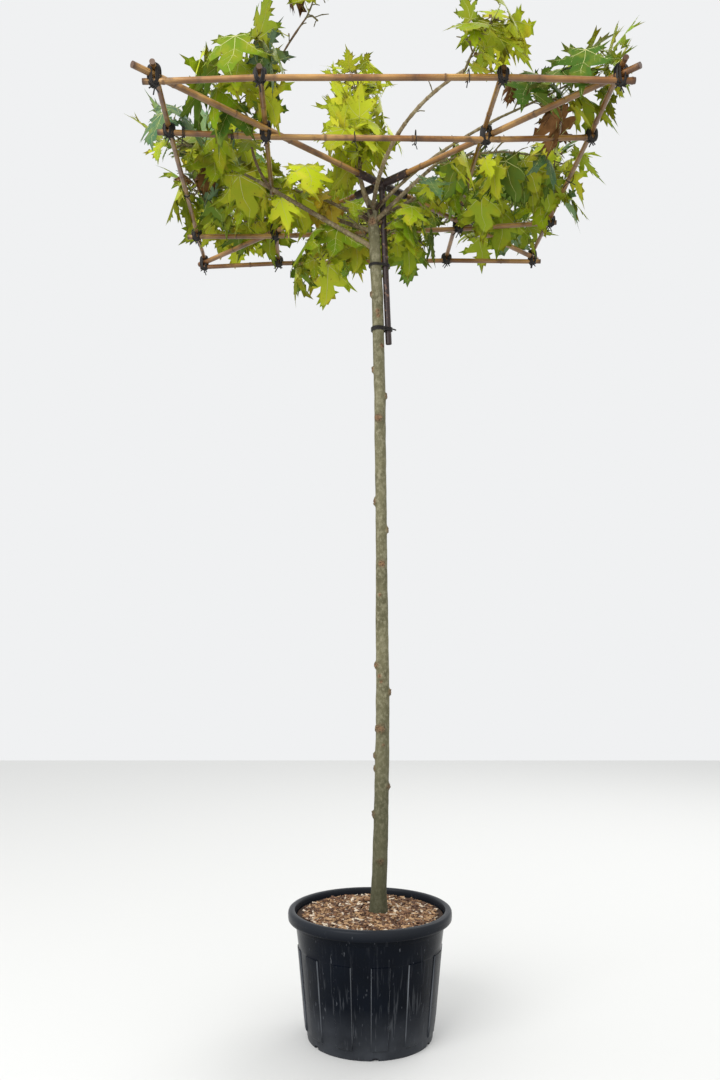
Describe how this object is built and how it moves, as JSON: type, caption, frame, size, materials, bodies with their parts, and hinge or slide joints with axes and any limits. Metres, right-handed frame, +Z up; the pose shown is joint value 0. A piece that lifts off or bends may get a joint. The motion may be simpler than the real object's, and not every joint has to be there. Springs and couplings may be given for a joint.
{
  "type": "roof-trained london plane tree in a pot",
  "caption": "London plane with a clear stem and a flat crown trained over a square bamboo roof frame, standing in a round black nursery pot.",
  "frame": {"origin": "centre of the pot's flat underside", "axes": "+Z up along the stem; +X to the right and +Y away from a viewer who faces the tree's front"},
  "size_m": [1.4939, 1.4779, 3.163],
  "materials": {
    "pot_plastic": "semi-gloss black, dusty",
    "bark_mulch": "loose bark chips",
    "stem_bark": "smooth young bark",
    "bough_bark": "smooth young bark",
    "bamboo": "satin bamboo cane",
    "painted_steel": "dark painted steel, worn",
    "black_tie": "matt",
    "foliage": "leaf"
  },
  "bodies": {
    "root": {"pot": "pot_plastic", "soil": "bark_mulch", "trunk": "stem_bark", "bough_left": "bough_bark", "bough_upright": "bough_bark", "bough_front_right": "bough_bark", "bough_right": "bough_bark", "bough_right_front": "bough_bark", "bough_side_right": "bough_bark", "bough_back_right": "bough_bark", "bough_back": "bough_bark", "bough_back_left": "bough_bark", "bough_side_left": "bough_bark", "bough_front_left": "bough_bark", "bough_tall_left": "bough_bark", "cross_cane_1": "bamboo", "long_cane_1": "bamboo", "cross_cane_2": "bamboo", "long_cane_2": "bamboo", "cross_cane_3": "bamboo", "long_cane_3": "bamboo", "cross_cane_4": "bamboo", "long_cane_4": "bamboo", "arm_cane_front_left": "bamboo", "arm_cane_front_right": "bamboo", "arm_cane_back_right": "bamboo", "arm_cane_back_left": "bamboo", "bracket": "painted_steel", "frame_tie_1_1": "black_tie", "frame_tie_1_2": "black_tie", "frame_tie_1_3": "black_tie", "frame_tie_1_4": "black_tie", "frame_tie_2_1": "black_tie", "frame_tie_2_2": "black_tie", "frame_tie_2_3": "black_tie", "frame_tie_2_4": "black_tie", "frame_tie_3_1": "black_tie", "frame_tie_3_2": "black_tie", "frame_tie_3_3": "black_tie", "frame_tie_3_4": "black_tie", "frame_tie_4_1": "black_tie", "frame_tie_4_2": "black_tie", "frame_tie_4_3": "black_tie", "frame_tie_4_4": "black_tie", "stem_tie_1": "black_tie", "stem_tie_2": "black_tie", "foliage_left": "foliage", "foliage_front_left": "foliage", "foliage_tall_left": "foliage", "foliage_upright": "foliage", "foliage_front_right": "foliage", "foliage_right": "foliage", "foliage_right_front": "foliage", "foliage_side_right": "foliage", "foliage_back_right": "foliage", "foliage_back": "foliage", "foliage_back_left": "foliage", "foliage_side_left": "foliage", "foliage_low_left": "foliage", "foliage_low_right": "foliage"}
  },
  "joints": []
}
